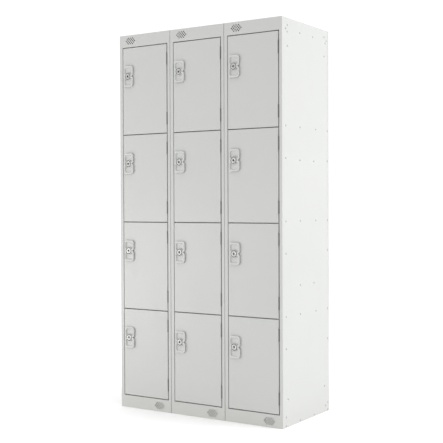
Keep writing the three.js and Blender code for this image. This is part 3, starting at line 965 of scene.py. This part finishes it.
def hinge_strip(bay):
    """The strip behind the hinge stile, its lugs with round ends, and the pins with domed heads."""
    hinge = sizes("hinge")
    low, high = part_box(f"hinge_strip_{bay}")
    pin = pin_of(lockers_in(bay)[0])
    left, front = high.x - hinge.strip_thick, high.y - hinge.strip_width
    surface = Surface()
    plate = [(left, front), (high.x, front), (high.x, high.y), (left, high.y)]
    surface.prism(plate, np.eye(3), (0, 0, 0), low.z, high.z)
    angle = np.linspace(-math.pi / 2, -1.5 * math.pi, 17)
    nose = [pin.x, pin.y] + hinge.lug * np.column_stack([np.cos(angle), np.sin(angle)])
    root = high.x - hinge.strip_thick / 2
    lug = [*nose, (root, pin.y + hinge.lug), (root, front), (pin.x + hinge.lug, front)]
    head = in_mm([(0.2, -0.55), (1.2, -0.45), (2.0, -0.1), (2.0, 0.15), (1.5, 0.2)])
    half = hinge.span / 2
    for locker in lockers_in(bay):
        for level in hinge_levels(locker):
            bottom, top = level - half, level + half
            surface.prism(lug, np.eye(3), (0, 0, 0), bottom, bottom + hinge.lug_thick)
            surface.prism(lug, np.eye(3), (0, 0, 0), top - hinge.lug_thick, top)
            ends = [*(head + [0, bottom]), *(head[::-1] * [1, -1] + [0, top])]
            shaft = closed(lathe(ends, per_corner=6))[:, :, [0, 2, 1]]
            surface.grid(shaft + [pin.x, pin.y, 0], loop_columns=True)
    return surface.make(f"hinge_strip_{bay}_pinned")


# ---------------------------------------------------------------- sides, back and small parts


def rivet_head(axes, at):
    """A low domed head whose height falls as 1 - (r / R) squared down from a rim round the hole
    that its pulled stem leaves, standing on the sheet at `at`."""
    sheet = sizes("sheet")
    share = np.array([1.0, 0.9, 0.75, 0.55, 0.38])
    dome = [(s * sheet.rivet, sheet.inset * (1 - s * s) / (1 - share[-1] ** 2)) for s in share]
    dome += [(0.33 * sheet.rivet, 0.8 * sheet.inset), (0.3 * sheet.rivet, 0)]
    sunk = 0.4 * MM
    return closed(lathe([(sheet.rivet, -sunk), *dome], per_corner=5)) @ axes + np.array(at)


def flat_sheet(name, axes, face, span, levels, holes, rivets):
    """An upright sheet set in a little from the CAD face, so that its rivet heads end at it. span
    is its low and high place along its own right axis, and holes and rivets are (right, up)."""
    sheet = sizes("sheet")
    right, outward, up = axes
    origin = outward * (face - sheet.inset)
    back = -sheet.thickness
    slab = [(span[0], back), (span[1], back), (span[1], 0), (span[0], 0)]
    surface = Surface()
    surface.prism(slab, axes, origin, *levels)
    made = surface.make(name)
    if holes:
        behind, before = -3 * MM, 2 * MM
        punched = Surface()
        for x, z in holes:
            at = origin + right * x + up * z
            punched.prism(circle(sheet.nest_hole, 20), axes[[0, 2, 1]], at, behind, before)
        cut_out(made, punched.make("cutter"))
    heads = Surface()
    for x, z in rivets:
        heads.grid(rivet_head(axes, origin + right * x + up * z), loop_columns=True)
    return made, heads.make(f"{name}_rivets")


def shelf_levels():
    """Heights of the three shelves, from the bottom."""
    bay = BAYS[0]
    return sorted(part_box(name)[1].z for name in frame["nodes"] if name.startswith(f"shelf_{bay}_"))


def side_sheet(side):
    """A side panel with the holes that bolt nests together and the rivets of its frames. Rivets
    and holes are given as millimetres behind the front and above the floor, or below the top."""
    low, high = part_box(f"side_panel_{side}")
    axes = np.array([[0, 1, 0], [1 if side == "right" else -1, 0, 0], [0, 0, 1]], float)
    nest_ends = np.array([32, 123]) * MM
    nest_depths = (FRONT + 50 * MM, BACK - 43 * MM)
    holes = [(y, z) for y in nest_depths for z in (*nest_ends, *(HEIGHT - nest_ends))]
    spare_levels = HEIGHT * (0.5 + np.array([-0.1559444, 0.1559444]))
    holes += [(FRONT + y * MM, z) for y in (165, 300) for z in spare_levels]
    near, far = FRONT + 34 * MM, BACK - 11 * MM
    at_shelf = (near, FRONT + 167 * MM, FRONT + 320 * MM, far)
    rivets = [(y, z) for z in shelf_levels() for y in at_shelf]
    below_shelf = 142 * MM
    rivets += [(y, z - below_shelf) for z in shelf_levels() for y in (near, far)]
    top = [(34, 49), (48, 61), (165, 50), (291, 50), (429, 49), (418, 61)]
    rivets += [*(in_mm(top) * [1, -1] + [FRONT, HEIGHT])]
    bottom = [(33, 7), (34, 45), (163, 8), (300, 7), (440, 6), (441, 41), (418, 29)]
    rivets += [*(in_mm(bottom) + [FRONT, 0])]
    face = max(abs(low.x), abs(high.x))
    span, levels = (low.y, high.y), (low.z, high.z)
    return flat_sheet(f"side_sheet_{side}", axes, face, span, levels, holes, rivets)


def back_sheet():
    """The back panel, with rivets along the partitions, the sides and the shelves."""
    low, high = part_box("back_panel")
    bay = (high.x - low.x) / len(BAYS)
    from_side, from_joint, from_middle, from_end, below_shelf = in_mm([12, 9, 60, 30, 10])
    columns = [low.x + from_side, high.x - from_side]
    columns += [low.x + bay * i + s * from_joint for i in range(1, len(BAYS)) for s in (-1, 1)]
    levels = np.linspace(low.z + from_end, high.z - from_end, 13)
    rivets = [(x, z) for x in columns for z in levels]
    middles = [low.x + bay * (i + 0.5) for i in range(len(BAYS))]
    pairs = [x + s * from_middle for x in middles for s in (-1, 1)]
    rivets += [(x, z - below_shelf) for x in pairs for z in shelf_levels()]
    span, levels = (low.x, high.x), (low.z, high.z)
    return flat_sheet("back_sheet", np.eye(3), BACK, span, levels, [], rivets)


def buffers(bay):
    """Small rubber buttons on the stop lip, two for each door, a hair clear of the closed door."""
    thick, clear, past_middle, from_end = in_mm([0.85, 0.15, 2, 40])
    button = in_mm([(4.2, -0.3), (4.2, 0.5), (3.9, 0.75), (3.2, 0.85), (1.0, 0.85)])
    shape = closed(lathe(button, per_corner=5)) @ FACING_FRONT
    across = opening_of(bay)[0] + sizes("sheet").stop_lip / 2 + past_middle
    surface = Surface()
    for locker in lockers_in(bay):
        _, bottom, _, top = door_rectangle(locker)
        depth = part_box(f"door_{locker}")[1].y + clear + thick
        for level in (bottom + from_end, top - from_end):
            surface.grid(shape + [across, depth, level], loop_columns=True)
    return surface.make(f"buffers_{bay}")


def stiffener(locker):
    """A folded channel down the inside of a door, with feet along both edges."""
    x0, z0, x1, z1 = door_rectangle(locker)
    thick, bend, clear, off_middle, from_end = in_mm([0.8, 1.4, 0.45, 18, 22])
    back = sizes("sheet").thickness + clear
    path = in_mm([(-27, 0), (-16, 0), (-13, 9.5), (13, 9.5), (16, 0), (27, 0)]) + [0, back]
    outline, _ = sheet_loop(path, [bend] * 4, thick, steps=4)
    surface = Surface()
    origin = ((x0 + x1) / 2 + off_middle, FRONT, 0)
    surface.prism(outline, np.eye(3), origin, z0 + from_end, z1 - from_end)
    return surface.make(f"door_{locker}_stiffener")


def soften(made, width):
    """Rounds the sharp edges of a folded or cut part with a small bevel."""
    weld = made.modifiers.new("weld", "WELD")
    weld.merge_threshold = 1e-5
    bevel = made.modifiers.new("edges", "BEVEL")
    bevel.width = width
    bevel.segments = 2
    bevel.limit_method = "ANGLE"
    bevel.angle_limit = math.radians(40)
    bevel.use_clamp_overlap = True


# ---------------------------------------------------------------- operators


class BuildStage(bpy.types.Operator):
    """Makes the floor, the soft studio light and the camera"""

    bl_idname = "lockers.stage"
    bl_label = "Studio"

    def execute(self, context):
        reach = 14.0
        x, y = np.meshgrid(*[np.linspace(-reach, reach, 9)] * 2)
        floor = np.stack([x, y, np.zeros_like(x)], axis=-1)
        floor = from_grid("studio_floor", floor, smooth=False)
        paint(floor, "floor")

        world = bpy.data.worlds.new("studio")
        world.use_nodes = True
        background = world.node_tree.nodes["Background"]
        background.inputs["Color"].default_value = (1, 1, 1, 1)
        background.inputs["Strength"].default_value = 1.06
        context.scene.world = world
        context.scene.view_settings.view_transform = "Standard"

        def set_up(data, place, turn):
            made = bpy.data.objects.new(data.name, data)
            made.location = place
            made.rotation_mode = "QUATERNION"
            made.rotation_quaternion = turn
            context.scene.collection.objects.link(made)
            return made

        # Round lamps that face the middle of the lockers: place, width, watts and tint.
        middle = Vector((0, 0, HEIGHT / 2))
        lamps = {
            "key_right": ((5.0, 1.3, 1.6), 3.0, 146, (0.96, 0.98, 1.0)),
            "fill_left": ((-2.2, -2.3, 0.3), 1.2, 24, (1.0, 1.0, 1.0)),
            "floor_wash": ((0.5, -0.5, 6.0), 7.0, 70, (1.0, 1.0, 1.0)),
        }
        for name, (place, across, power, tint) in lamps.items():
            lamp = bpy.data.lights.new(name, "AREA")
            lamp.shape = "DISK"
            lamp.size, lamp.energy, lamp.color = across, power, tint
            set_up(lamp, place, (middle - Vector(place)).to_track_quat("-Z", "Y"))

        camera = bpy.data.cameras.new("camera")
        camera.lens, camera.sensor_width = 76.36, 36
        heading, pitch, roll = (math.radians(angle) for angle in (32.82, -1.05, -0.21))
        turn = Quaternion((0, 0, 1), heading) @ Quaternion((1, 0, 0), math.pi / 2 + pitch)
        turn = turn @ Quaternion((0, 0, 1), roll)
        standpoint = (2.443, -3.79925, 0.984)
        context.scene.camera = set_up(camera, standpoint, turn)
        return {"FINISHED"}


class BuildFrames(bpy.types.Operator):
    """Makes the three folded front frames, with their vents, notches and door buffers"""

    bl_idname = "lockers.frames"
    bl_label = "Front frames"

    def execute(self, context):
        for bay in BAYS:
            made = front_frame(bay)
            cut_out(made, frame_cutter(bay))
            finish_piece(made, CARCASE, "carcase_paint", f"front_frame_{bay}")
            finish_piece(buffers(bay), CARCASE, "rubber")
        return {"FINISHED"}


class BuildDoors(bpy.types.Operator):
    """Makes the pressed doors, each with its knuckles and a stiffener"""

    bl_idname = "lockers.doors"
    bl_label = "Doors"

    def execute(self, context):
        for locker in LOCKERS:
            body = f"door_{locker}"
            finish_piece(door_pan(locker), body, "door_paint", body)
            finish_piece(stiffener(locker), body, "door_paint")
            # The knuckles are darkened as painted shade of the hinge gap.
            finish_piece(knuckles(locker), body, "hinge_steel")
        return {"FINISHED"}


class BuildLocks(bpy.types.Operator):
    """Makes the lock plates, collars, nuts, groove rings painted dark as shade, barrels, and key
    plugs painted dark as keyhole shade
    """

    bl_idname = "lockers.locks"
    bl_label = "Locks"

    def execute(self, context):
        for locker in LOCKERS:
            door, lock = f"door_{locker}", f"lock_{locker}"
            finish_piece(lock_plate(locker), door, "lock_plate", f"lock_plate_{locker}")
            finish_piece(collar(locker), door, "lock_metal")
            finish_piece(lock_nut(locker), door, "lock_metal")
            # The groove ring is painted shade of the groove between the boss and the collar.
            finish_piece(groove_shade_ring(locker), door, "rubber")
            finish_piece(barrel(locker), lock, "lock_metal", f"lock_barrel_{locker}")
            # The plug is coloured near black as painted shade of the keyhole.
            finish_piece(key_plug(locker), lock, "key_plug")
        return {"FINISHED"}


class BuildHinges(bpy.types.Operator):
    """Makes the hinge strips with their lugs and pins"""

    bl_idname = "lockers.hinges"
    bl_label = "Hinges"

    def execute(self, context):
        for bay in BAYS:
            # The strip is darkened as painted shade of the hinge gap.
            finish_piece(hinge_strip(bay), CARCASE, "hinge_steel", f"hinge_strip_{bay}")
        return {"FINISHED"}


class BuildShell(bpy.types.Operator):
    """Makes the side and back sheets with rivets, and finishes the trays, shelves and partitions"""

    bl_idname = "lockers.shell"
    bl_label = "Sides, back and inside"

    def execute(self, context):
        sheets = {
            "side_panel_right": side_sheet("right"),
            "side_panel_left": side_sheet("left"),
            "back_panel": back_sheet(),
        }
        for node, (made, heads) in sheets.items():
            finish_piece(made, CARCASE, "carcase_paint", node)
            finish_piece(heads, CARCASE, "rivet_metal")
            soften(made, width=0.2 * MM)
        for name in frame["nodes"]:
            if name.startswith(("shelf", "top", "partition", "base")):
                paint(bpy.data.objects[name], "carcase_paint")
                soften(bpy.data.objects[name], width=0.3 * MM)
        return {"FINISHED"}


BUILDERS = (BuildStage, BuildShell, BuildFrames, BuildHinges, BuildDoors, BuildLocks)


class LockersPanel(bpy.types.Panel):
    """Lists the sizes, the colours and the building steps"""

    bl_idname = "VIEW3D_PT_lockers"
    bl_label = "Steel lockers"
    bl_space_type = "VIEW_3D"
    bl_region_type = "UI"
    bl_category = "Lockers"

    def draw(self, context):
        for group, kind in GROUPS.items():
            box = self.layout.box()
            for name in kind.__annotations__:
                box.prop(sizes(group), name)
        for builder in BUILDERS:
            self.layout.operator(builder.bl_idname)


CLASSES = (*GROUPS.values(), *BUILDERS, LockersPanel)


def register():
    for kind in CLASSES:
        bpy.utils.register_class(kind)
    for group, kind in GROUPS.items():
        setattr(bpy.types.Scene, f"lockers_{group}", bpy.props.PointerProperty(type=kind))


def unregister():
    for group in GROUPS:
        delattr(bpy.types.Scene, f"lockers_{group}")
    for kind in reversed(CLASSES):
        bpy.utils.unregister_class(kind)


def main():
    register()
    for builder in BUILDERS:
        group, step = builder.bl_idname.split(".")
        getattr(getattr(bpy.ops, group), step)()


if __name__ == "__main__":
    main()
